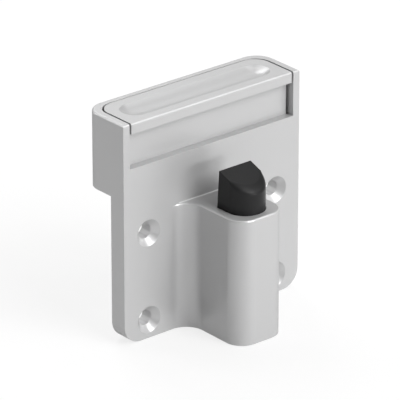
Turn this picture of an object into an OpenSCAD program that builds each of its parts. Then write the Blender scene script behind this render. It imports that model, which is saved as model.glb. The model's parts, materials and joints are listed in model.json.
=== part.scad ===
// Touch latch for a door or lid: pressing the bar down draws the sloped bolt down.
// Millimetres. X across, Y to the rear, Z up.
// The origin is on the rear face of the plate, in the middle of the four screw holes.

/* [Plate] */
// Width of the plate and of the box behind it
plate_w = 65.2; // [60:0.1:80]
// Height of the plate
plate_h = 68.2; // [66:0.2:80]
// Thickness of the plate
plate_t = 5.8; // [5.4:0.1:7]
// Radius of the two lower corners of the plate
corner_r = 5.8; // [2:0.2:8]
// Height of the middle of the screw pattern above the lower edge
pattern_up = 19.3; // [18.6:0.1:22]

/* [Screw holes] */
// Spacing of the holes across
hole_pitch_x = 47.3; // [44:0.1:52]
// Spacing of the holes up and down
hole_pitch_z = 27.2; // [24:0.1:28]
// Diameter of the screw holes
hole_d = 4.5; // [3.4:0.1:5]
// Diameter of the countersinks at the front face
sink_d = 8.3; // [7:0.1:9]

/* [Box] */
// Height of the box from the top of the plate
box_h = 23.3; // [22.9:0.1:24.5]
// Depth from the front of the plate to the rear of the box
box_depth = 18; // [17.6:0.2:24]
// Radius of the rear corners of the box in plan
box_r = 6.1; // [4:0.1:7]
// Radius of the lower rear edge of the box
box_edge_r = 2; // [0.5:0.1:2.4]
// Thickness of the side walls of the box
side_wall = 2.3; // [2.2:0.1:3]
// Thickness of the rear wall of the box
rear_wall = 2.15; // [1.6:0.05:3]
// Thickness of the floor of the box
floor_t = 2.4; // [1.8:0.1:2.8]
// Radius of the upper outer edges of box, plate and bar
top_edge_r = 0.7; // [0.3:0.05:1]

/* [Window] */
// Height of the opening in the front, from the top of the plate down to the sill
window_h = 13.8; // [13.6:0.1:16]
// Thickness of the front skin left below the sill
skin_t = 2.3; // [1.6:0.1:2.6]

/* [Touch bar] */
// Height of the front lip of the bar
lip_h = 3.3; // [2.8:0.1:3.4]
// Gap at each end of the bar
bar_side_gap = 0.65; // [0.3:0.05:1]
// Gap behind the bar
bar_rear_gap = 0.35; // [0.2:0.05:1]
// Radius of the rear corners of the bar in plan
bar_r = 5; // [3:0.1:5.4]
// Travel of the bar
bar_travel = 10; // [6:0.1:10.1]
// Length of the finger scoop
scoop_l = 53.2; // [40:0.2:56]
// Width of the finger scoop
scoop_w = 9; // [6:0.1:9.4]
// Depth of the finger scoop
scoop_deep = 1.2; // [0.6:0.05:1.4]
// Distance from the front of the bar to the middle of the scoop
scoop_back = 7.7; // [7:0.1:9]
// Thickness of the skirt below the bar
skirt_t = 1.5; // [1.2:0.1:2]

/* [Slide plate] */
// Thickness of the slide plate
slide_t = 2; // [1.5:0.1:2]
// Gap at each end of the panel below the bar
panel_side_gap = 0.7; // [0.4:0.05:1.2]
// Width of the tongue that goes down into the boss
tongue_w = 13.4; // [11.5:0.1:13.8]

/* [Boss] */
// Width of the boss between its straight walls
boss_w = 17.7; // [17.5:0.1:20]
// Reach of the boss in front of the plate
boss_reach = 22.55; // [22:0.05:26]
// Height of the boss above the lower edge of the plate
boss_h = 39; // [38:0.1:41]
// Radius of the front corners of the boss
boss_corner_r = 5.6; // [5:0.1:6.5]
// Radius of the hollow corners at the root of the boss
boss_root_r = 6; // [3:0.1:6.5]
// Wall thickness of the boss
boss_wall = 1.6; // [1.2:0.05:1.7]
// Thickness of the roof of the boss
boss_roof = 2.4; // [1.8:0.1:2.8]
// Radius of the upper edge of the boss
boss_edge_r = 0.6; // [0.3:0.05:1]
// Radius of the hollow corner between the plate and the top of the boss
boss_seam_r = 0.4; // [0.2:0.05:0.6]

/* [Latch bolt] */
// Width of the bolt
bolt_w = 11.9; // [11:0.05:12]
// Depth of the bolt from its back face to its round front
bolt_depth = 11.3; // [10.8:0.1:11.4]
// Gap between the plate and the back face of the bolt, for the strike
strike_gap = 8.9; // [8.6:0.1:9.2]
// Height of the bolt above the boss
bolt_out = 11.5; // [9:0.1:12]
// Depth of the bolt inside the boss
bolt_in = 14.2; // [13.6:0.1:14.8]
// Travel of the bolt when a door is slammed
bolt_travel = 10.5; // [8:0.1:10.6]
// Forward lean of the back face over the height above the boss
bolt_lean = 0.8; // [0:0.1:1.4]
// Angle of the sloped top of the bolt
slope_deg = 24.8; // [15:0.2:35]
// Radius where the slope meets the round front
nose_r = 4.6; // [2:0.1:5]

/* [Springs] */
// Wire diameter of the two return springs
bar_wire = 0.7; // [0.5:0.05:0.8]
// Turns of a return spring
bar_turns = 7; // [5:1:8]
// Outside diameter of a return spring
bar_spring_d = 6.7; // [6:0.1:7.2]
// Distance from each end of the bar to the middle of its return spring
bar_spring_end = 9.65; // [8.7:0.05:11.2]
// Wire diameter of the bolt spring
bolt_wire = 0.55; // [0.4:0.05:0.6]
// Turns of the bolt spring
bolt_turns = 12; // [8:1:13]
// Outside diameter of the bolt spring
bolt_spring_d = 5.2; // [4.6:0.05:5.4]
// Depth of the spring bore in the bolt
bolt_bore = 12; // [11:0.1:12.5]

/* [Small parts] */
// Diameter of the cross pin in the bolt
pin_d = 2.4; // [2:0.05:2.4]
// Diameter of the cover screws
cover_screw_d = 2; // [1.6:0.1:2]
// Diameter of the screws that hold the bar to the slide plate
bar_screw_d = 2; // [1.6:0.1:2.2]
// Diameter of the rivets through carrier and tongue
rivet_d = 2.5; // [2:0.1:2.8]
// Thickness of the back cover
cover_t = 1.2; // [1:0.05:1.2]
// Diameter of a rubber buffer
buffer_d = 6; // [4:0.1:6.4]

/* [Hidden] */
$fn = 64;
eps = 0.01;

slide_clear = 0.1;
guide_clear = 0.15;
pin_clear = 0.05;
seat_clear = 0.05;
run_out = 0.5;
cut = 1;

plate_front = -plate_t;
plate_bottom = -pattern_up;
plate_top = plate_bottom + plate_h;
plate_half = plate_w / 2;
box_bottom = plate_top - box_h;
box_rear = plate_front + box_depth;
floor_top = box_bottom + floor_t;
sill_z = plate_top - window_h;
inner_half = plate_half - side_wall;
inner_rear = box_rear - rear_wall;
inner_r = bar_r + bar_rear_gap;

slide_front = plate_front + skin_t + slide_clear;
slide_rear = slide_front + slide_t;
pocket_front = slide_front - slide_clear;
pocket_rear = -cover_t;
bar_half = inner_half - bar_side_gap;
panel_half = inner_half - panel_side_gap;
bar_rear = inner_rear - bar_rear_gap;
lip_under = plate_top - lip_h;
cup_t = 0.8;
panel_overlap = 1;
panel_bottom = sill_z - panel_overlap;
pocket_bottom = panel_bottom - bar_travel - run_out;
skirt_gap = 0.2;
skirt_bottom = floor_top + cup_t + bar_travel + skirt_gap;
rib_t = 2.2;
rib_rear = slide_rear + rib_t;

boss_half = boss_w / 2;
boss_front = plate_front - boss_reach;
boss_top = plate_bottom + boss_h;
boss_floor = 1.8;
cavity_half = boss_half - boss_wall;
cavity_front = boss_front + boss_wall;
cavity_r = boss_corner_r - boss_wall;
cavity_top = boss_top - boss_roof;
cavity_bottom = plate_bottom + boss_floor;

bolt_half = bolt_w / 2;
bolt_back = plate_front - strike_gap;
bolt_front = bolt_back - bolt_depth;
bolt_round_y = bolt_front + bolt_half;
bolt_ridge = boss_top + bolt_out;
bolt_bottom = boss_top - bolt_in;
ridge_y = bolt_back - bolt_lean;
slope = tan(slope_deg);
slope_len = sqrt(1 + slope * slope);
nose_y = bolt_front + nose_r;
nose_z = bolt_ridge + slope * (nose_y - ridge_y) - nose_r * slope_len;

guide_h = 2.8;
guide_top = cavity_top - seat_clear;
guide_bottom = guide_top - guide_h;
guide_front = cavity_front + seat_clear;
guide_behind = 2;
guide_back = bolt_back + guide_behind;
guide_half = cavity_half - seat_clear;
rib_out = 0.7;
rib_h = 1.2;
rib_up = 0.8;
rib_z = guide_bottom + rib_up;
rib_front = bolt_round_y;

pad_t = 0.8;
carrier_t = 1;
carrier_half = bolt_half + guide_clear + carrier_t;
carrier_top = guide_bottom - pad_t - slide_clear;
carrier_floor_t = 1.2;
carrier_seat = bolt_bottom - bolt_travel - run_out;
carrier_bottom = carrier_seat - carrier_floor_t;
carrier_past = 1.4;
carrier_front = bolt_round_y - carrier_past;
web_front = slide_front - carrier_t;
tongue_up = 3;
tongue_bottom = carrier_bottom + tongue_up;
tongue_half = tongue_w / 2;
channel_clear = 0.3;
channel_half = tongue_half + channel_clear;

pin_in = 2;
pin_up = 3.5;
pin_y = bolt_back - pin_in;
pin_z = bolt_bottom + pin_up;
slot_w = pin_d + 2 * guide_clear;
pin_half = carrier_half - slide_clear;

bolt_spring_in = 4.4;
bolt_spring_y = bolt_front + bolt_spring_in;
bore_clear = 0.4;
bolt_bore_d = bolt_spring_d + 2 * bore_clear;
bolt_bore_top = bolt_bottom + bolt_bore;
post_rim = 0.8;
post_base_d = bolt_spring_d;
post_base_t = 0.8;
post_clear = 0.3;
post_d = bolt_spring_d - 2 * (bolt_wire + post_clear);
post_h = 5;
post_peg_d = 2;

bar_spring_x = bar_half - bar_spring_end;
spring_y = (rib_rear + bar_rear - skirt_t) / 2;
spigot_clear = 0.5;
spigot_d = bar_spring_d - 2 * (bar_wire + spigot_clear);
spigot_h = 2.2;
cup_rim = 0.3;
cup_d = bar_spring_d + 2 * cup_rim;
cup_post_h = 2.6;
peg_d = 2.4;
cup_seat = floor_top + cup_t;

buffer_gap = 1.2;
buffer_x = bar_spring_x - bar_spring_d / 2 - buffer_d / 2 - buffer_gap;
buffer_top = lip_under - bar_travel - slide_clear;
buffer_waist = 3;

glide_in = 1;
glide_behind = 1.2;
glide_edge = 0.2;
glide_down = 2;
glide_front = slide_rear + glide_behind;
glide_back = inner_rear - inner_r - glide_edge;
glide_bottom = floor_top + glide_edge;
glide_top = lip_under - glide_down;

screw_z = (skirt_bottom + lip_under) / 2;
screw_in = 3;
screw_x_out = bar_half - skirt_t - screw_in;
screw_x_in = 4.6;
screw_bite = 1.4;
screw_tip = 0.1;
head_d = 2 * bar_screw_d;
head_h = 1.2;
socket_d = 0.8 * bar_screw_d;

cover_edge = 2;
cover_seat = 2.2;
cover_up = 1.2;
cover_gap = 0.4;
cover_half = cavity_half + cover_seat + cover_edge;
cover_bottom = plate_bottom + cover_up;
cover_top = pocket_bottom - cover_gap;
cover_r = 1.5;
cover_screw_x = cover_half - cover_seat;
cover_screw_low = cover_bottom + cover_edge;
cover_screw_high = cover_top - cover_edge;
cover_screw_mid = (cover_screw_low + cover_screw_high) / 2;
cover_screw_l = 3.6;
cover_head_d = 2 * cover_screw_d;
screwdriver_slot = 0.5;
slot_deep = 0.3;
head_shy = 0.1;

rivet_x = 3.6;
rivet_edge = 2.4;
rivet_low = tongue_bottom + rivet_edge;
rivet_high = carrier_top - rivet_edge;
rivet_rim = 0.8;
rivet_head_d = rivet_d + 2 * rivet_rim;
rivet_head_h = 0.8;

spring_rings = 8;
wire_sides = 6;
least_gap = 0.5;

metal = [0.76, 0.77, 0.78];
steel = [0.66, 0.67, 0.69];
black = [0.09, 0.09, 0.1];
rubber = [0.14, 0.14, 0.15];
white = [0.86, 0.86, 0.84];

// Turns a drawing of X and Z into a slab that ends at the given Y
module slab(y_end, thick) {
    translate([0, y_end, 0]) rotate([90, 0, 0]) linear_extrude(thick) children();
}

// A round bar along Y from one Y to another
module rod_y(x, z, y_from, y_to, d) {
    translate([x, y_to, z]) rotate([90, 0, 0]) cylinder(h = y_to - y_from, d = d);
}

// A cone along Y whose wide end is at y_wide
module cone_y(x, z, y_wide, y_narrow, d_wide, d_narrow) {
    turn = y_wide < y_narrow ? -90 : 90;
    translate([x, y_wide, z]) rotate([turn, 0, 0])
        cylinder(h = abs(y_narrow - y_wide), d1 = d_wide, d2 = d_narrow);
}

// One open helix of round wire between z = 0 and z = height, with close end turns
module coil(out_d, wire, turns, height) {
    mean_r = (out_d - wire) / 2;
    wire_r = wire / 2;
    rings = turns * spring_rings;
    close = wire + least_gap;
    pitch = (height - wire - 2 * close) / (turns - 2);
    echo(least_gap_of_coil = min(close, pitch) - wire);
    rise = [for (i = [0 : rings]) let (u = i / spring_rings)
        min(u, 1) * close + max(0, min(u - 1, turns - 2)) * pitch + max(0, u - turns + 1) * close];
    points = [for (i = [0 : rings]) for (j = [0 : wire_sides - 1])
        let (a = 360 * i / spring_rings, t = 360 * j / wire_sides, r = mean_r + wire_r * cos(t))
        [r * cos(a), r * sin(a), wire_r + rise[i] + wire_r * sin(t)]];
    sides = [for (i = [0 : rings - 1]) for (j = [0 : wire_sides - 1])
        let (k = (j + 1) % wire_sides, a = i * wire_sides, b = a + wire_sides)
        each [[a + j, a + k, b + k], [a + j, b + k, b + j]]];
    first = [for (j = [wire_sides - 1 : -1 : 0]) j];
    last = [for (j = [0 : wire_sides - 1]) rings * wire_sides + j];
    polyhedron(points = points, faces = concat([first], sides, [last]), convexity = 10);
}

// Plan of a bolt-shaped outline that is grown on every side by the given amount
module bolt_plan(grow) {
    r = bolt_half + grow;
    translate([0, bolt_round_y]) circle(r = r);
    translate([-r, bolt_round_y]) square([2 * r, bolt_back + grow - bolt_round_y]);
}

// Front view of the plate
module plate_view() {
    translate([-plate_half, plate_bottom + corner_r]) square([plate_w, plate_h - corner_r]);
    translate([-plate_half + corner_r, plate_bottom]) square([plate_w - 2 * corner_r, corner_r + eps]);
    for (s = [-1, 1])
        translate([s * (plate_half - corner_r), plate_bottom + corner_r]) circle(r = corner_r);
}

// Plan of a block that reaches from y_front to y_back, with two round rear corners
module rear_round_plan(half, y_front, y_back, r) {
    translate([-half, y_front]) square([2 * half, y_back - r - y_front]);
    translate([-half + r, y_back - r - eps]) square([2 * (half - r), r + eps]);
    for (s = [-1, 1])
        translate([s * (half - r), y_back - r]) circle(r = r);
}

// Plan of a block that reaches from y_back to y_front, with two round front corners
module front_round_plan(half, y_front, y_back, r) {
    translate([-half, y_front + r]) square([2 * half, y_back - y_front - r]);
    translate([-half + r, y_front]) square([2 * (half - r), r + eps]);
    for (s = [-1, 1])
        translate([s * (half - r), y_front + r]) circle(r = r);
}

// Drawing that rounds an edge at its origin: the body lies on the side given by way, and below
module edge_view(r, way) {
    difference() {
        translate([way > 0 ? -cut : -r, -r]) square([r + cut, r + cut]);
        translate([way * r, -r]) circle(r = r + eps);
    }
}

// Rounding tool for a straight edge along X
module edge_x(x_from, x_to, y, z, r, way) {
    translate([x_from, y, z]) rotate([90, 0, 90]) linear_extrude(x_to - x_from) edge_view(r, way);
}

// Rounding tool for a straight edge along Y
module edge_y(x, y_from, y_to, z, r, way) {
    slab(y_to, y_to - y_from) translate([x, z]) edge_view(r, way);
}

// Rounding tool for a quarter of a round edge, from the start angle on
module edge_arc(x, y, z, start, arc_r, r, way) {
    translate([x, y, z]) rotate([0, 0, start]) rotate_extrude(angle = 90)
        translate([arc_r, 0]) edge_view(r, way);
}

// Plan of the boss with the hollow corners at its root
module boss_plan() {
    front_round_plan(boss_half, boss_front, plate_front + eps, boss_corner_r);
    for (s = [-1, 1])
        difference() {
            translate([s * (boss_half + boss_root_r / 2 - eps), plate_front - boss_root_r / 2 + eps])
                square([boss_root_r, boss_root_r], center = true);
            translate([s * (boss_half + boss_root_r - eps), plate_front - boss_root_r])
                circle(r = boss_root_r);
        }
}

// The boss with its rounded upper edge
module boss_solid() {
    wall_from = boss_front + boss_corner_r;
    wall_to = plate_front - boss_root_r;
    root_x = boss_half + boss_root_r - eps;
    difference() {
        translate([0, 0, plate_bottom]) linear_extrude(boss_h) boss_plan();
        edge_x(-boss_half + boss_corner_r, boss_half - boss_corner_r, boss_front, boss_top, boss_edge_r, 1);
        for (s = [-1, 1]) {
            edge_y(s * boss_half, wall_from, wall_to, boss_top, boss_edge_r, -s);
            edge_arc(s * (boss_half - boss_corner_r), wall_from, boss_top, s < 0 ? 180 : 270,
                boss_corner_r, boss_edge_r, -1);
            edge_arc(s * root_x, wall_to, boss_top, s < 0 ? 0 : 90, boss_root_r, boss_edge_r, 1);
        }
    }
}

// Hollow corner where the top of the boss meets the plate
module boss_seam() {
    reach = sqrt(2 * boss_root_r * boss_seam_r);
    half = boss_half + boss_root_r - reach;
    translate([-half, plate_front, boss_top]) rotate([90, 0, 90]) linear_extrude(2 * half)
        difference() {
            translate([-boss_seam_r, -eps]) square([boss_seam_r + eps, boss_seam_r + eps]);
            translate([-boss_seam_r, boss_seam_r]) circle(r = boss_seam_r);
        }
}

// Rounding tools for the upper outer edges of box and plate
module rim_tools() {
    side_to = box_rear - box_r;
    corner_x = plate_half - box_r;
    edge_x(-plate_half - cut, plate_half + cut, plate_front, plate_top, top_edge_r, 1);
    edge_x(-corner_x, corner_x, box_rear, plate_top, top_edge_r, -1);
    for (s = [-1, 1]) {
        edge_y(s * plate_half, plate_front - cut, side_to, plate_top, top_edge_r, -s);
        edge_arc(s * corner_x, side_to, plate_top, s < 0 ? 90 : 0, box_r, top_edge_r, -1);
    }
}

// Side view of the box with the round lower rear edge
module box_side() {
    front = plate_front + eps;
    translate([front, box_bottom]) square([box_rear - box_edge_r - front, box_h]);
    translate([front, box_bottom + box_edge_r]) square([box_rear - front, box_h - box_edge_r]);
    translate([box_rear - box_edge_r, box_bottom + box_edge_r]) circle(r = box_edge_r);
}

// One slab of the box: its plan cut to its side view
module box_solid() {
    intersection() {
        translate([0, 0, box_bottom]) linear_extrude(box_h)
            rear_round_plan(plate_half, plate_front + eps, box_rear, box_r);
        translate([-plate_half, 0, 0]) rotate([90, 0, 90]) linear_extrude(plate_w) box_side();
    }
}

// Outline of the back cover and of its recess
module cover_view(grow) {
    r = cover_r + grow;
    half = cover_half + grow;
    low = cover_bottom - grow;
    high = cover_top + grow;
    translate([-half + r, low]) square([2 * (half - r), high - low]);
    translate([-half, low + r]) square([2 * half, high - low - 2 * r]);
    for (s = [-1, 1]) for (z = [low + r, high - r])
        translate([s * (half - r), z]) circle(r = r);
}

// Places of the cover screws as X and Z
function cover_places() = [for (s = [-1, 1]) for (z = [cover_screw_low, cover_screw_mid, cover_screw_high])
    [s * cover_screw_x, z]];

// Places of the screws between bar and slide plate as X
function bar_screw_places() = [-screw_x_out, -screw_x_in, screw_x_in, screw_x_out];

// Places of the rivets as X and Z
function rivet_places() = [for (s = [-1, 1]) for (z = [rivet_low, rivet_high]) [s * rivet_x, z]];

module housing() {
    sink_depth = (sink_d - hole_d) / 2;
    color(metal) difference() {
        union() {
            slab(0, plate_t) plate_view();
            box_solid();
            boss_solid();
            boss_seam();
        }
        rim_tools();
        // Screw holes with their countersinks
        for (sx = [-1, 1]) for (sz = [-1, 1]) {
            x = sx * hole_pitch_x / 2;
            z = sz * hole_pitch_z / 2;
            rod_y(x, z, plate_front - cut, cut, hole_d);
            cone_y(x, z, plate_front, plate_front + sink_depth, sink_d, hole_d);
            rod_y(x, z, plate_front - cut, plate_front + eps, sink_d);
        }
        // Inside of the box, open at the top
        translate([0, 0, floor_top]) linear_extrude(plate_top - floor_top + cut)
            rear_round_plan(inner_half, pocket_front, inner_rear, inner_r);
        // Window in the front
        translate([-inner_half, plate_front - cut, sill_z])
            cube([2 * inner_half, pocket_front - plate_front + cut + eps, window_h + cut]);
        // Pocket behind the sill for the panel
        translate([-inner_half, pocket_front, pocket_bottom])
            cube([2 * inner_half, pocket_rear - pocket_front, floor_top - pocket_bottom + eps]);
        // Channel for the tongue
        translate([-channel_half, pocket_front, cavity_top - cut])
            cube([2 * channel_half, pocket_rear - pocket_front, pocket_bottom - cavity_top + cut + eps]);
        // Chamber in the boss, open to the rear
        translate([0, 0, cavity_bottom]) linear_extrude(cavity_top - cavity_bottom)
            front_round_plan(cavity_half, cavity_front, eps, cavity_r);
        // Grooves for the ribs of the bolt guide
        translate([-cavity_half - rib_out - slide_clear, rib_front - slide_clear, rib_z - slide_clear])
            cube([2 * (cavity_half + rib_out + slide_clear), -rib_front + cut, rib_h + 2 * slide_clear]);
        // Opening for the bolt
        translate([0, 0, cavity_top - cut]) linear_extrude(boss_roof + 2 * cut) bolt_plan(guide_clear);
        // Recess and threads for the back cover
        slab(cut, cover_t + cut) cover_view(slide_clear);
        for (p = cover_places())
            rod_y(p[0], p[1], -cover_screw_l, 0, cover_screw_d);
        // Peg holes in the floor
        for (s = [-1, 1]) {
            translate([s * bar_spring_x, spring_y, box_bottom - cut])
                cylinder(h = floor_t + 2 * cut, d = peg_d);
            translate([s * buffer_x, spring_y, box_bottom - cut])
                cylinder(h = floor_t + 2 * cut, d = buffer_waist);
        }
        // Seats of the glides in the side walls
        for (s = [-1, 1])
            translate([s * (inner_half + glide_in / 2 - eps), (glide_front + glide_back) / 2,
                (glide_bottom + glide_top) / 2])
                cube([glide_in + 2 * eps, glide_back - glide_front, glide_top - glide_bottom],
                    center = true);
    }
}

module touch_bar() {
    scoop_r = (scoop_w * scoop_w / 4 + scoop_deep * scoop_deep) / (2 * scoop_deep);
    scoop_run = scoop_l - scoop_w;
    scoop_y = plate_front + scoop_back;
    scoop_z = plate_top - scoop_deep + scoop_r;
    color(metal) difference() {
        union() {
            translate([0, 0, lip_under]) linear_extrude(lip_h)
                rear_round_plan(bar_half, plate_front, bar_rear, bar_r);
            // Skirt at both ends and at the rear
            difference() {
                translate([0, 0, skirt_bottom]) linear_extrude(lip_under - skirt_bottom + eps)
                    rear_round_plan(bar_half, slide_rear, bar_rear, bar_r);
                translate([0, 0, skirt_bottom - cut]) linear_extrude(lip_under - skirt_bottom + cut)
                    rear_round_plan(bar_half - skirt_t, slide_rear - cut, bar_rear - skirt_t,
                        bar_r - skirt_t);
            }
            // Rib that takes the screws of the slide plate
            translate([-bar_half + eps, slide_rear, skirt_bottom])
                cube([2 * (bar_half - eps), rib_rear - slide_rear, lip_under - skirt_bottom + eps]);
            // Spigots for the return springs
            for (s = [-1, 1])
                translate([s * bar_spring_x, spring_y, lip_under - spigot_h])
                    cylinder(h = spigot_h + eps, d = spigot_d);
        }
        // Finger scoop
        translate([-scoop_run / 2, scoop_y, scoop_z]) rotate([0, 90, 0])
            cylinder(h = scoop_run, r = scoop_r, $fn = 128);
        for (s = [-1, 1])
            translate([s * scoop_run / 2, scoop_y, scoop_z]) sphere(r = scoop_r, $fn = 128);
        edge_x(-bar_half - cut, bar_half + cut, plate_front, plate_top, top_edge_r, 1);
        // Holes for the screws
        for (x = bar_screw_places())
            rod_y(x, screw_z, slide_rear - cut, rib_rear + cut, bar_screw_d);
    }
}

module slide_plate() {
    color(metal) difference() {
        union() {
            translate([-panel_half, slide_front, panel_bottom])
                cube([2 * panel_half, slide_t, lip_under - panel_bottom]);
            translate([-tongue_half, slide_front, tongue_bottom])
                cube([tongue_w, slide_t, panel_bottom - tongue_bottom + eps]);
        }
        for (x = bar_screw_places())
            rod_y(x, screw_z, slide_rear - screw_bite, slide_rear + cut, bar_screw_d);
        for (p = rivet_places()) {
            rod_y(p[0], p[1], slide_front - cut, slide_rear + cut, rivet_d);
            cone_y(p[0], p[1], slide_rear, slide_rear - rivet_head_h, rivet_head_d, rivet_d);
        }
    }
}

module bolt_carrier() {
    color(steel) difference() {
        union() {
            for (s = [-1, 1])
                translate([s * (carrier_half - carrier_t / 2), (carrier_front + slide_front) / 2,
                    (carrier_top + carrier_bottom) / 2])
                    cube([carrier_t, slide_front - carrier_front, carrier_top - carrier_bottom],
                        center = true);
            translate([-carrier_half + eps, web_front, carrier_bottom])
                cube([2 * (carrier_half - eps), carrier_t, carrier_top - carrier_bottom]);
            translate([-carrier_half + eps, carrier_front, carrier_bottom])
                cube([2 * (carrier_half - eps), slide_front - carrier_front, carrier_floor_t]);
            // Round tongue of the floor under the spring post
            translate([0, bolt_spring_y, carrier_bottom])
                cylinder(h = carrier_floor_t, d = post_base_d + 2 * post_rim);
        }
        // Slots for the ends of the cross pin
        for (s = [-1, 1])
            translate([s * carrier_half, pin_y, 0]) rotate([0, 90, 0])
                linear_extrude(4 * carrier_t, center = true) {
                translate([-pin_z, 0]) circle(d = slot_w);
                translate([-pin_z, -slot_w / 2]) square([bolt_travel, slot_w]);
                translate([-pin_z + bolt_travel, 0]) circle(d = slot_w);
            }
        // Hole for the peg of the spring post
        translate([0, bolt_spring_y, carrier_bottom - cut])
            cylinder(h = carrier_floor_t + 2 * cut, d = post_peg_d);
        for (p = rivet_places())
            rod_y(p[0], p[1], web_front - cut, slide_front + cut, rivet_d);
    }
}

// Side view of the bolt as Y and Z
module bolt_side() {
    touch_y = nose_y - nose_r * slope / slope_len;
    touch_z = nose_z + nose_r / slope_len;
    polygon([[bolt_back, bolt_bottom], [bolt_back, boss_top], [ridge_y, bolt_ridge], [touch_y, touch_z],
        [nose_y, nose_z], [bolt_front, nose_z], [bolt_front, bolt_bottom]]);
    translate([nose_y, nose_z]) circle(r = nose_r);
}

module latch_bolt() {
    color(black) difference() {
        intersection() {
            translate([0, 0, bolt_bottom]) linear_extrude(bolt_ridge - bolt_bottom + cut) bolt_plan(0);
            translate([-bolt_half - cut, 0, 0]) rotate([90, 0, 90])
                linear_extrude(bolt_w + 2 * cut) bolt_side();
        }
        translate([0, bolt_spring_y, bolt_bottom - cut])
            cylinder(h = bolt_bore + cut, d = bolt_bore_d);
        translate([-bolt_half - cut, pin_y, pin_z]) rotate([0, 90, 0])
            cylinder(h = bolt_w + 2 * cut, d = pin_d + 2 * pin_clear);
    }
}

module cross_pin() {
    color(steel) translate([-pin_half, pin_y, pin_z]) rotate([0, 90, 0])
        cylinder(h = 2 * pin_half, d = pin_d);
}

module bolt_spring() {
    seat = carrier_seat + post_base_t;
    color(steel) translate([0, bolt_spring_y, seat])
        coil(bolt_spring_d, bolt_wire, bolt_turns, bolt_bore_top - seat);
}

module spring_post() {
    color(black) translate([0, bolt_spring_y, carrier_seat]) {
        cylinder(h = post_base_t, d = post_base_d);
        cylinder(h = post_base_t + post_h, d = post_d);
        translate([0, 0, -carrier_floor_t])
            cylinder(h = carrier_floor_t + eps, d = post_peg_d - 2 * pin_clear);
    }
}

module return_spring(s) {
    color(steel) translate([s * bar_spring_x, spring_y, cup_seat])
        coil(bar_spring_d, bar_wire, bar_turns, lip_under - cup_seat);
}

module spring_cup(s) {
    color(black) translate([s * bar_spring_x, spring_y, 0]) {
        translate([0, 0, floor_top]) cylinder(h = cup_t, d = cup_d);
        translate([0, 0, floor_top]) cylinder(h = cup_t + cup_post_h, d = spigot_d);
        translate([0, 0, box_bottom]) cylinder(h = floor_t + eps, d = peg_d - 2 * pin_clear);
    }
}

module buffer(s) {
    color(rubber) translate([s * buffer_x, spring_y, 0]) {
        translate([0, 0, floor_top]) cylinder(h = buffer_top - floor_top, d = buffer_d);
        translate([0, 0, box_bottom]) cylinder(h = floor_t + eps, d = buffer_waist - 2 * pin_clear);
    }
}

module glide(s) {
    reach = bar_side_gap - slide_clear;
    color(white) translate([s * (inner_half + (glide_in - reach - seat_clear) / 2),
        (glide_front + glide_back) / 2, (glide_bottom + glide_top) / 2])
        cube([glide_in + reach - seat_clear, glide_back - glide_front - 2 * seat_clear,
            glide_top - glide_bottom - 2 * seat_clear], center = true);
}

module bolt_guide() {
    color(white) difference() {
        union() {
            translate([0, 0, guide_bottom]) linear_extrude(guide_h)
                front_round_plan(guide_half, guide_front, guide_back, cavity_r);
            translate([-guide_half - rib_out, rib_front, rib_z])
                cube([2 * (guide_half + rib_out), guide_back - rib_front, rib_h]);
        }
        translate([0, 0, guide_bottom - cut]) linear_extrude(guide_h + 2 * cut) bolt_plan(slide_clear);
    }
}

module stop_pads() {
    pad_end = 0.5;
    pad_l = guide_back - bolt_round_y - 2 * pad_end;
    color(rubber) for (s = [-1, 1])
        translate([s * (carrier_half - carrier_t / 2), bolt_round_y + pad_end + pad_l / 2,
            carrier_top + pad_t / 2])
            cube([carrier_t, pad_l, pad_t], center = true);
}

module back_cover() {
    color(metal) difference() {
        slab(0, cover_t) cover_view(0);
        for (p = cover_places()) {
            rod_y(p[0], p[1], -cover_t - cut, cut, cover_screw_d + 2 * pin_clear);
            cone_y(p[0], p[1], 0, -cover_screw_d / 2, cover_head_d, cover_screw_d);
        }
    }
}

module cover_screws() {
    color(steel) for (p = cover_places()) difference() {
        union() {
            rod_y(p[0], p[1], -cover_screw_l, -eps, cover_screw_d - 2 * pin_clear);
            cone_y(p[0], p[1], -seat_clear, -cover_screw_d / 2, cover_head_d - 2 * head_shy,
                cover_screw_d - 2 * pin_clear);
        }
        translate([p[0], 0, p[1]])
            cube([cover_head_d + cut, 2 * slot_deep, screwdriver_slot], center = true);
    }
}

module bar_screws() {
    color(steel) for (x = bar_screw_places()) difference() {
        union() {
            rod_y(x, screw_z, slide_rear - screw_bite + screw_tip, rib_rear + eps,
                bar_screw_d - 2 * pin_clear);
            rod_y(x, screw_z, rib_rear, rib_rear + head_h, head_d);
        }
        rod_y(x, screw_z, rib_rear + head_h / 2, rib_rear + head_h + cut, socket_d);
    }
}

module carrier_rivets() {
    color(steel) for (p = rivet_places()) {
        rod_y(p[0], p[1], web_front - eps, slide_rear - seat_clear, rivet_d - 2 * pin_clear);
        cone_y(p[0], p[1], slide_rear - seat_clear, slide_rear - rivet_head_h, rivet_head_d - 2 * head_shy,
            rivet_d - 2 * pin_clear);
        rod_y(p[0], p[1], web_front - rivet_head_h, web_front, rivet_head_d);
    }
}

housing();
touch_bar();
slide_plate();
bolt_carrier();
latch_bolt();
cross_pin();
bolt_spring();
spring_post();
return_spring(-1);  // return_spring_left
return_spring(1);  // return_spring_right
spring_cup(-1);  // spring_cup_left
spring_cup(1);  // spring_cup_right
buffer(-1);  // buffer_left
buffer(1);  // buffer_right
glide(-1);  // glide_left
glide(1);  // glide_right
bolt_guide();
stop_pads();
back_cover();
cover_screws();
bar_screws();
carrier_rivets();
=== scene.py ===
import json
import math

import bmesh
import bpy
from mathutils import Matrix, Vector


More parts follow.
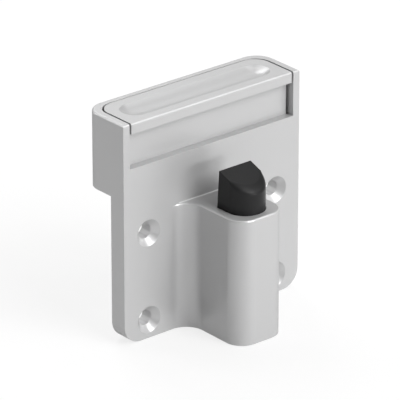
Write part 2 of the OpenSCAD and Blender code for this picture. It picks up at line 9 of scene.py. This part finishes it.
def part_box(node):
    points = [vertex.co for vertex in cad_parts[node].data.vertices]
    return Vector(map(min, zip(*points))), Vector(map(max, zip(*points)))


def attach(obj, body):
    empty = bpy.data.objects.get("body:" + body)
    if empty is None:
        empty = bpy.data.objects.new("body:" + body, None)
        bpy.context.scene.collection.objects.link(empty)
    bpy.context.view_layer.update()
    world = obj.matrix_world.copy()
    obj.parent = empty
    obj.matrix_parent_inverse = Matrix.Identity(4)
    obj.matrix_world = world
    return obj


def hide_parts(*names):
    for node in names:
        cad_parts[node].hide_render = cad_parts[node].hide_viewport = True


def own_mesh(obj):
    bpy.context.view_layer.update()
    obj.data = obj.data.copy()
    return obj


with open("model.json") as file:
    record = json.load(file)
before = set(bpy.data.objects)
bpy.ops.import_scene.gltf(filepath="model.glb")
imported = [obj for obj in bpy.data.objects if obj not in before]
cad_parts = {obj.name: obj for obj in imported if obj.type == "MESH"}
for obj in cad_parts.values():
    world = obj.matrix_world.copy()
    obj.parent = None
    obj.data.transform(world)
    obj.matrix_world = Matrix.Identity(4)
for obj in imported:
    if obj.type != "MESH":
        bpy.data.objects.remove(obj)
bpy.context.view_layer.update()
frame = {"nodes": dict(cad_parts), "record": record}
nodes = frame["nodes"]
scene = bpy.context.scene

MM = 0.001

# Sizes of the part in metres: read from the frame, or repeated from the part's source
PLATE_T = 5.8 * MM
PLATE_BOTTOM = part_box("housing")[0][2]
BOSS_TOP = 19.7 * MM
BOLT_LOW, BOLT_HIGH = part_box("latch_bolt")
BOLT_HALF = BOLT_HIGH[0]
BOLT_FRONT = BOLT_LOW[1]
BOLT_BACK = BOLT_HIGH[1]
BOLT_BOTTOM = BOLT_LOW[2]
BOLT_RIDGE = BOLT_HIGH[2]
BOLT_LEAN = 0.8 * MM
ROUND_Y = BOLT_FRONT + BOLT_HALF
RIDGE_Y = BOLT_BACK - BOLT_LEAN
BORE_IN = 4.4 * MM
BORE_DEEP = 12 * MM
BORE_D = 6 * MM
PIN_IN = 2 * MM
PIN_UP = 3.5 * MM
PIN_D = 2.5 * MM
HOLE_X = 23.65 * MM
HOLE_Z = 13.6 * MM
HOLE_R = 2.25 * MM
BAR_WIRE = 0.7 * MM
BAR_TURNS = 7
BOLT_WIRE = 0.55 * MM
BOLT_TURNS = 12

# Materials

FINE_EDGE = 0.1 * MM
EDGE_WEAR = 1.12
# Painted highlight: the rounds that face up get a lighter base colour, standing in for light from
# above
ROUND_HIGHLIGHT = 1.24
BORE_ROUGH = 0.6
METAL_CLOUD = 0.004
PLASTIC_CLOUD = 0.1
METAL_BUMP_DEPTH = 0.04 * MM
PLASTIC_BUMP_DEPTH = 0.05 * MM


def new_material(name):
    mat = bpy.data.materials.new(name)
    mat.use_nodes = True
    tree = mat.node_tree
    shader = tree.nodes["Principled BSDF"]
    return mat, tree, shader


def link(tree, a, out, b, into):
    tree.links.new(a.outputs[out], b.inputs[into])


def noise(tree, scale, detail, rough=0.5, stretch=None):
    coords = tree.nodes.new("ShaderNodeTexCoord")
    mapping = tree.nodes.new("ShaderNodeMapping")
    if stretch:
        mapping.inputs["Scale"].default_value = stretch
    link(tree, coords, "Object", mapping, "Vector")
    tex = tree.nodes.new("ShaderNodeTexNoise")
    tex.inputs["Scale"].default_value = scale
    tex.inputs["Detail"].default_value = detail
    tex.inputs["Roughness"].default_value = rough
    link(tree, mapping, "Vector", tex, "Vector")
    return tex


def ramp(tree, source, out, low, high, dark, light):
    """Map a value from the range low to high to the range dark to light."""
    node = tree.nodes.new("ShaderNodeMapRange")
    node.inputs["From Min"].default_value = low
    node.inputs["From Max"].default_value = high
    node.inputs["To Min"].default_value = dark
    node.inputs["To Max"].default_value = light
    link(tree, source, out, node, "Value")
    return node


def math_node(tree, operation, a, a_out, b, b_out):
    node = tree.nodes.new("ShaderNodeMath")
    node.operation = operation
    link(tree, a, a_out, node, 0)
    link(tree, b, b_out, node, 1)
    return node


def blend_value(tree, data_type, factor, factor_out, source, out, value):
    """Go from a linked input to a fixed value as the factor rises."""
    node = tree.nodes.new("ShaderNodeMix")
    node.data_type = data_type
    node.inputs["B"].default_value = value
    link(tree, factor, factor_out, node, "Factor")
    link(tree, source, out, node, "A")
    return node


def cloud_colour(tree, color, scale, share):
    """A slow cloud that goes from slightly darker to slightly lighter than the colour."""
    mix = tree.nodes.new("ShaderNodeMix")
    mix.data_type = "RGBA"
    mix.inputs["A"].default_value = scaled(color, 1 - share)
    mix.inputs["B"].default_value = scaled(color, 1 + share)
    link(tree, noise(tree, scale, 3), "Fac", mix, "Factor")
    return mix


def scaled(color, share):
    return (*(min(c * share, 1) for c in color), 1)


def bump_map(tree, height, strength, depth):
    node = tree.nodes.new("ShaderNodeBump")
    node.inputs["Strength"].default_value = strength
    node.inputs["Distance"].default_value = depth
    link(tree, height, "Fac", node, "Height")
    return node


def worn_edges(tree, edge):
    """Mask of the sharp edges, broken up by noise, where handling has worn the metal bright."""
    geometry = tree.nodes.new("ShaderNodeNewGeometry")
    dot = tree.nodes.new("ShaderNodeVectorMath")
    dot.operation = "DOT_PRODUCT"
    link(tree, edge, "Normal", dot, 0)
    link(tree, geometry, "Normal", dot, 1)
    mask = ramp(tree, dot, "Value", 0.99, 0.8, 0.0, 1.0)
    patches = ramp(tree, noise(tree, 420, 3), "Fac", 0.35, 0.65, 0.2, 0.8)
    return math_node(tree, "MULTIPLY", mask, "Result", patches, "Result")


def upward_round_highlight(tree):
    """Mask of the rounds that face up and outward, where a highlight is painted into the base
    colour.
    """
    coords = tree.nodes.new("ShaderNodeTexCoord")
    split = tree.nodes.new("ShaderNodeSeparateXYZ")
    link(tree, coords, "Normal", split, "Vector")
    begin = ramp(tree, split, "Z", 0.3, 0.5, 0.0, 1.0)
    end = ramp(tree, split, "Z", 0.8, 0.9, 1.0, 0.0)
    return math_node(tree, "MULTIPLY", begin, "Result", end, "Result")


def screw_bores(tree):
    """Mask of the four drilled screw holes, which are rougher than the skin of the casting."""
    coords = tree.nodes.new("ShaderNodeTexCoord")
    source, out = coords, "Object"
    steps = (("ABSOLUTE", None), ("SUBTRACT", (HOLE_X, 0, HOLE_Z)), ("MULTIPLY", (1, 0, 1)))
    for operation, value in steps:
        step = tree.nodes.new("ShaderNodeVectorMath")
        step.operation = operation
        link(tree, source, out, step, 0)
        if value:
            step.inputs[1].default_value = value
        source, out = step, "Vector"
    distance = tree.nodes.new("ShaderNodeVectorMath")
    distance.operation = "LENGTH"
    link(tree, source, out, distance, 0)
    return ramp(tree, distance, "Value", HOLE_R + 0.05 * MM, HOLE_R + 0.15 * MM, 1.0, 0.0)


def metal(name, color, rough, metallic=0.35, grain=None, bump=0.02, spread=0.03, bores=False):
    """Satin metal: fine grain in the roughness and the surface, a slow cloud and worn edges in the
    colour, and a painted highlight on the rounds that face up.
    """
    mat, tree, shader = new_material(name)
    shader.inputs["Metallic"].default_value = metallic
    shader.inputs["Specular IOR Level"].default_value = 0.0
    shader.inputs["Specular Tint"].default_value = (0.5, 0.5, 0.5, 1)
    edge = tree.nodes.new("ShaderNodeBevel")
    edge.samples = 4
    edge.inputs["Radius"].default_value = FINE_EDGE
    cloud = cloud_colour(tree, color, 90, METAL_CLOUD)
    worn = blend_value(tree, "RGBA", worn_edges(tree, edge), "Value",
                       cloud, "Result", scaled(color, EDGE_WEAR))
    # Painted highlight: the upward rounds are lightened in the base colour in place of light from
    # above
    highlighted = blend_value(tree, "RGBA", upward_round_highlight(tree), "Value",
                           worn, "Result", scaled(color, ROUND_HIGHLIGHT))
    link(tree, highlighted, "Result", shader, "Base Color")
    fine = noise(tree, 9000, 2, 0.6, grain)
    slow = ramp(tree, noise(tree, 260, 4), "Fac", 0.3, 0.7, 0.0, 0.08)
    total = tree.nodes.new("ShaderNodeMath")
    total.operation = "MULTIPLY_ADD"
    total.inputs[1].default_value = 0.92
    link(tree, fine, "Fac", total, 0)
    link(tree, slow, "Result", total, 2)
    rough_map = ramp(tree, total, "Value", 0.1, 0.9, rough - spread, rough + spread)
    if bores:
        rough_map = blend_value(tree, "FLOAT", screw_bores(tree), "Result",
                                rough_map, "Result", BORE_ROUGH)
    link(tree, rough_map, "Result", shader, "Roughness")
    bump_node = bump_map(tree, fine, bump, METAL_BUMP_DEPTH)
    link(tree, edge, "Normal", bump_node, "Normal")
    link(tree, bump_node, "Normal", shader, "Normal")
    return mat


def plastic(name, color, rough, gloss=0.5, bump=0.05, scale=2600, spread=0.04):
    """Moulded plastic or rubber: a fine spark texture and slight unevenness."""
    mat, tree, shader = new_material(name)
    shader.inputs["Specular IOR Level"].default_value = gloss
    cloud = cloud_colour(tree, color, 140, PLASTIC_CLOUD)
    link(tree, cloud, "Result", shader, "Base Color")
    fine = noise(tree, scale, 3, 0.6)
    rough_map = ramp(tree, fine, "Fac", 0.3, 0.7, rough - spread, rough + spread)
    link(tree, rough_map, "Result", shader, "Roughness")
    link(tree, bump_map(tree, fine, bump, PLASTIC_BUMP_DEPTH), "Normal", shader, "Normal")
    return mat


STEEL = (0.57, 0.57, 0.572)
STEEL_ROUGH = 0.33
MATS = {
    "cast_steel": metal("satin_casting", STEEL, STEEL_ROUGH, bores=True),
    "bar_steel": metal("satin_bar", STEEL, STEEL_ROUGH),
    "sheet_steel": metal("brushed_sheet", STEEL, STEEL_ROUGH, grain=(0.15, 1, 1),
                         spread=0.015, bump=0.008),
    "bright_steel": metal("turned_steel", (0.6, 0.6, 0.61), 0.22, metallic=0.8),
    "spring_steel": metal("drawn_wire", (0.5, 0.5, 0.51), 0.25, metallic=0.8),
    "black_plastic": plastic("black_moulding", (0.02, 0.02, 0.0205), 0.36, gloss=0.15),
    "white_plastic": plastic("acetal", (0.74, 0.74, 0.71), 0.45),
    "rubber": plastic("rubber", (0.03, 0.03, 0.03), 0.75, bump=0.12),
}

slots = {item["node"]: item["material_slot"] for item in frame["record"]["subparts"]}


def dress(obj, slot):
    obj.data.materials.clear()
    obj.data.materials.append(MATS[slot])


for name, obj in nodes.items():
    dress(obj, slots[name])

# The latch bolt: a U-shaped column with a sloped top that runs into the round front
# After the photo its slope is 20 degrees and its front round drops 2.6 mm. In the part's source
# they are 24.8 degrees and 4.2 mm

SLOPE = math.tan(math.radians(20))
EDGE = 0.25 * MM
CORNER = 0.35 * MM
NOSE = 2.6 * MM
NOSE_DROP = 1.0
CREASE = math.radians(12)
ARC_STEPS = 16


def bolt_outline():
    """Plan of the bolt: points and outward normals, clockwise from the back right."""
    points = []
    corner_steps = 6
    front_steps = 64
    for side in (1, -1):
        corner = []
        for i in range(corner_steps + 1):
            turn = math.radians(90) * i / corner_steps
            n = (side * math.sin(turn), math.cos(turn))
            centre = (side * (BOLT_HALF - CORNER), RIDGE_Y - CORNER)
            corner.append(((centre[0] + CORNER * n[0], centre[1] + CORNER * n[1]), n))
        if side == 1:
            points += corner
            for i in range(front_steps + 1):
                turn = math.pi * i / front_steps
                n = (math.cos(turn), -math.sin(turn))
                points.append(((BOLT_HALF * n[0], ROUND_Y + BOLT_HALF * n[1]), n))
        else:
            points += reversed(corner)
    return points


def top_point(point, normal, share):
    """A point of the rounded top edge: share 0 lies on the slope, share 1 where the wall begins.

    At the front the round starts with a slight crease and is short, as on the nose in the photo.
    """
    front = max(0.0, -normal[1]) if point[1] < ROUND_Y else 0.0
    width = math.sqrt(EDGE ** 2 + NOSE ** 2 * front)
    plain = math.atan(-SLOPE * normal[1])
    even = math.cos(plain) / (1 - math.sin(plain))
    drop = width * (even + (NOSE_DROP - even) * front)
    start = (point[0] - normal[0] * width, point[1] - normal[1] * width)
    start_z = BOLT_RIDGE + SLOPE * (start[1] - RIDGE_Y)
    bend = 2 * share * (1 - share)
    out = width * (bend + share ** 2)
    down = width * math.tan(plain + CREASE * front) * bend + drop * share ** 2
    return (start[0] + normal[0] * out, start[1] + normal[1] * out, start_z - down)


def wall_point(point, z):
    """A point of the wall: the back face leans forward above the boss."""
    share = max(0.0, min((z - BOSS_TOP) / (BOLT_RIDGE - BOSS_TOP), 1.0))
    stretch = max(0.0, (point[1] - ROUND_Y) / (RIDGE_Y - ROUND_Y))
    return (point[0], point[1] + stretch * BOLT_LEAN * (1 - share), z)


def cylinder_cutter(radius, low, high):
    """A round bar between two points, used to cut a hole."""
    bm = bmesh.new()
    axis = Vector(high) - Vector(low)
    turn = axis.to_track_quat("Z", "Y").to_matrix().to_4x4()
    place = Matrix.Translation((Vector(low) + Vector(high)) / 2) @ turn
    bmesh.ops.create_cone(bm, cap_ends=True, segments=48, radius1=radius, radius2=radius,
                          depth=axis.length, matrix=place)
    mesh = bpy.data.meshes.new("cutter")
    bm.to_mesh(mesh)
    bm.free()
    obj = bpy.data.objects.new("cutter", mesh)
    scene.collection.objects.link(obj)
    return obj


def bolt_body():
    """The closed shell of the bolt, without its bores."""
    outline = bolt_outline()
    bm = bmesh.new()
    loops = []
    for k in range(ARC_STEPS + 1):
        loops.append([bm.verts.new(top_point(p, n, k / ARC_STEPS)) for p, n in outline])
    tops = [v.co.z for v in loops[-1]]
    for level in (0.66, 0.33, 0.0):
        loops.append([bm.verts.new(wall_point(p, BOSS_TOP + (top - BOSS_TOP) * level))
                      for (p, n), top in zip(outline, tops)])
    loops.append([bm.verts.new(wall_point(p, BOLT_BOTTOM)) for p, n in outline])
    count = len(outline)
    for a, b in zip(loops, loops[1:]):
        for i in range(count):
            j = (i + 1) % count
            bm.faces.new((a[i], a[j], b[j], b[i]))
    bm.faces.new(loops[0])
    bm.faces.new(loops[-1])
    bmesh.ops.recalc_face_normals(bm, faces=bm.faces)
    mesh = bpy.data.meshes.new("bolt_nose")
    bm.to_mesh(mesh)
    bm.free()
    return mesh


def make_bolt():
    obj = bpy.data.objects.new("bolt_nose", bolt_body())
    scene.collection.objects.link(obj)
    bore_y = BOLT_FRONT + BORE_IN
    pin = (BOLT_BACK - PIN_IN, BOLT_BOTTOM + PIN_UP)
    bore_low = (0, bore_y, BOLT_BOTTOM - MM)
    bore_high = (0, bore_y, BOLT_BOTTOM + BORE_DEEP)
    cutters = [
        cylinder_cutter(BORE_D / 2, bore_low, bore_high),
        cylinder_cutter(PIN_D / 2, (-BOLT_HALF - MM, *pin), (BOLT_HALF + MM, *pin))]
    for cutter in cutters:
        cut = obj.modifiers.new("cut", "BOOLEAN")
        cut.object = cutter
    graph = bpy.context.evaluated_depsgraph_get()
    obj.data = bpy.data.meshes.new_from_object(obj.evaluated_get(graph))
    obj.modifiers.clear()
    for cutter in cutters:
        bpy.data.objects.remove(cutter)
    for face in obj.data.polygons:
        face.use_smooth = True
    normals = obj.modifiers.new("normals", "WEIGHTED_NORMAL")
    normals.weight = 90
    return obj


bolt = make_bolt()
dress(bolt, "black_plastic")
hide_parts("latch_bolt")
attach(bolt, "moving_bolt")

# The springs: round wire, with a close turn at each end

WIRE_SIDES = 12
TURN_STEPS = 32
END_GAP = 0.5 * MM


def spring_mesh(name, wire, turns):
    """The wire of a compression spring, in the box of the CAD spring of that name."""
    low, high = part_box(name)
    centre = ((low[0] + high[0]) / 2, (low[1] + high[1]) / 2)
    mean = (high[0] - low[0] - wire) / 2
    height = high[2] - low[2]
    end = wire + END_GAP
    pitch = (height - wire - 2 * end) / (turns - 2)
    bm = bmesh.new()
    rings = []
    for i in range(turns * TURN_STEPS + 1):
        turn = i / TURN_STEPS
        rise = (min(turn, 1) * end + max(0, min(turn - 1, turns - 2)) * pitch
                + max(0, turn - turns + 1) * end)
        angle = 2 * math.pi * turn
        ring = []
        for j in range(WIRE_SIDES):
            around = 2 * math.pi * j / WIRE_SIDES
            radius = mean + wire / 2 * math.cos(around)
            ring.append(bm.verts.new((
                centre[0] + radius * math.cos(angle),
                centre[1] + radius * math.sin(angle),
                low[2] + wire / 2 + rise + wire / 2 * math.sin(around))))
        rings.append(ring)
    for a, b in zip(rings, rings[1:]):
        for j in range(WIRE_SIDES):
            k = (j + 1) % WIRE_SIDES
            bm.faces.new((a[j], a[k], b[k], b[j])).smooth = True
    bm.faces.new(rings[0])
    bm.faces.new(rings[-1])
    bmesh.ops.recalc_face_normals(bm, faces=bm.faces)
    mesh = bpy.data.meshes.new("coil_" + name)
    bm.to_mesh(mesh)
    bm.free()
    return mesh


def make_spring(name, wire, turns, body):
    obj = bpy.data.objects.new("coil_" + name, spring_mesh(name, wire, turns))
    scene.collection.objects.link(obj)
    dress(obj, "spring_steel")
    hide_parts(name)
    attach(obj, body)
    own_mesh(obj)


for spring in ("return_spring_left", "return_spring_right"):
    make_spring(spring, BAR_WIRE, BAR_TURNS, "fixed_housing")
make_spring("bolt_spring", BOLT_WIRE, BOLT_TURNS, "moving_bar")

# Stage: pale floor, soft light and the camera

FLOOR_SHARE = 0.7
FLOOR_GLOW = 1.1
HORIZON_TOP = 0.06
HORIZON_END = 0.22
DOME = 0.2
FLOOR_HALF = 6.0
FLOOR_DROP = 0.2 * MM
LAMP_AWAY = 1.2
LAMP_TARGET = Vector((0, -PLATE_T, 13 * MM))


def seen_rays(tree):
    """1 for the rays that show the background: from the camera, reflected or let through."""
    path = tree.nodes.new("ShaderNodeLightPath")
    first = math_node(tree, "MAXIMUM", path, "Is Camera Ray", path, "Is Glossy Ray")
    return math_node(tree, "MAXIMUM", first, "Value", path, "Is Transmission Ray")


def floor_material():
    """Pale floor: it looks white, also in reflections, and keeps a soft shadow."""
    mat = bpy.data.materials.new("stage_floor")
    mat.use_nodes = True
    tree = mat.node_tree
    tree.nodes.clear()
    out = tree.nodes.new("ShaderNodeOutputMaterial")
    diffuse = tree.nodes.new("ShaderNodeBsdfDiffuse")
    diffuse.inputs["Color"].default_value = (0.8, 0.8, 0.8, 1)
    glow = tree.nodes.new("ShaderNodeEmission")
    glow.inputs["Color"].default_value = (1, 1, 1, 1)
    glow.inputs["Strength"].default_value = FLOOR_GLOW
    share = tree.nodes.new("ShaderNodeMath")
    share.operation = "MULTIPLY"
    share.inputs[1].default_value = FLOOR_SHARE
    link(tree, seen_rays(tree), "Value", share, 0)
    mix = tree.nodes.new("ShaderNodeMixShader")
    link(tree, share, "Value", mix, 0)
    link(tree, diffuse, "BSDF", mix, 1)
    link(tree, glow, "Emission", mix, 2)
    link(tree, mix, "Shader", out, "Surface")
    return mat


def make_floor():
    mesh = bpy.data.meshes.new("floor")
    bm = bmesh.new()
    z = PLATE_BOTTOM - FLOOR_DROP
    bm.faces.new([bm.verts.new((x * FLOOR_HALF, y * FLOOR_HALF, z))
                  for x, y in ((-1, -1), (1, -1), (1, 1), (-1, 1))])
    bm.to_mesh(mesh)
    bm.free()
    obj = bpy.data.objects.new("floor", mesh)
    scene.collection.objects.link(obj)
    obj.data.materials.append(floor_material())


def make_world():
    """A white horizon with a grey dome above it; they are seen but light nothing."""
    world = bpy.data.worlds.new("studio")
    scene.world = world
    world.use_nodes = True
    tree = world.node_tree
    background = tree.nodes["Background"]
    background.inputs["Color"].default_value = (1, 1, 1, 1)
    coords = tree.nodes.new("ShaderNodeTexCoord")
    split = tree.nodes.new("ShaderNodeSeparateXYZ")
    link(tree, coords, "Generated", split, "Vector")
    fade = ramp(tree, split, "Z", HORIZON_TOP, HORIZON_END, 1.0, DOME)
    strength = math_node(tree, "MULTIPLY", fade, "Result", seen_rays(tree), "Value")
    link(tree, strength, "Value", background, "Strength")


make_floor()
make_world()


def lamp(name, compass, height, power, size):
    """A soft box facing the plate: its compass angle runs from +Y towards +X."""
    data = bpy.data.lights.new(name, "AREA")
    data.shape = "RECTANGLE"
    data.size = size[0]
    data.size_y = size[1]
    data.energy = power
    obj = bpy.data.objects.new(name, data)
    scene.collection.objects.link(obj)
    turn = math.radians(compass)
    rise = math.radians(height)
    way = Vector((math.sin(turn) * math.cos(rise), math.cos(turn) * math.cos(rise),
                  math.sin(rise)))
    obj.location = LAMP_TARGET + way * LAMP_AWAY
    obj.rotation_euler = (-way).to_track_quat("-Z", "Y").to_euler()


LAMPS = [
    ("key", 168, 40, 7.45, (0.7, 0.55)),
    ("front_low", 167, 6, 4.0, (0.5, 0.16)),
    ("high_front", 145, 58, 2.8, (0.6, 0.5)),
    ("right_front", 125, 38, 0.9, (0.5, 0.4)),
    ("left", 330, 20, 3.2, (0.5, 0.4)),
    ("rear", 20, 38, 3.1, (0.5, 0.4)),
    ("high_right", 70, 62, 1.3, (0.5, 0.4)),
    ("right", 45, 38, 0.7, (0.5, 0.4)),
    ("right_low", 40, 14, 0.9, (0.5, 0.4)),
    ("scoop_light", 3, 60, 2.9, (0.75, 0.62)),
    ("front_left", 208, 36, 0.3, (0.25, 0.25)),
]
for name, compass, height, power, size in LAMPS:
    lamp(name, compass, height, power, size)

# Camera from the fit to the photo's edges

CAM_AZIMUTH = math.radians(-39.80)
CAM_ELEVATION = math.radians(24.09)
CAM_DISTANCE = 1.2297
CAM_TARGET = Vector((0, -PLATE_T, 13.2 * MM))
CAM_SIDE = 3.606 * MM
CAM_RISE = 3.580 * MM
SENSOR = 36
FOCAL_PIXELS = 4286.65
PHOTO_PIXELS = 400


def make_camera():
    flat = math.cos(CAM_ELEVATION)
    back = Vector((math.sin(CAM_AZIMUTH) * flat, -math.cos(CAM_AZIMUTH) * flat,
                   math.sin(CAM_ELEVATION)))
    right = Vector((math.cos(CAM_AZIMUTH), math.sin(CAM_AZIMUTH), 0))
    up = back.cross(right)
    place = CAM_TARGET - right * CAM_SIDE + up * CAM_RISE + back * CAM_DISTANCE
    cam = bpy.data.cameras.new("camera")
    cam.sensor_fit = "HORIZONTAL"
    cam.sensor_width = SENSOR
    cam.lens = SENSOR * FOCAL_PIXELS / PHOTO_PIXELS
    cam.clip_start = 0.01
    cam.clip_end = 20
    obj = bpy.data.objects.new("camera", cam)
    scene.collection.objects.link(obj)
    obj.matrix_world = Matrix((
        (right.x, up.x, back.x, place.x),
        (right.y, up.y, back.y, place.y),
        (right.z, up.z, back.z, place.z),
        (0, 0, 0, 1)))
    scene.camera = obj


make_camera()
scene.view_settings.view_transform = "Standard"
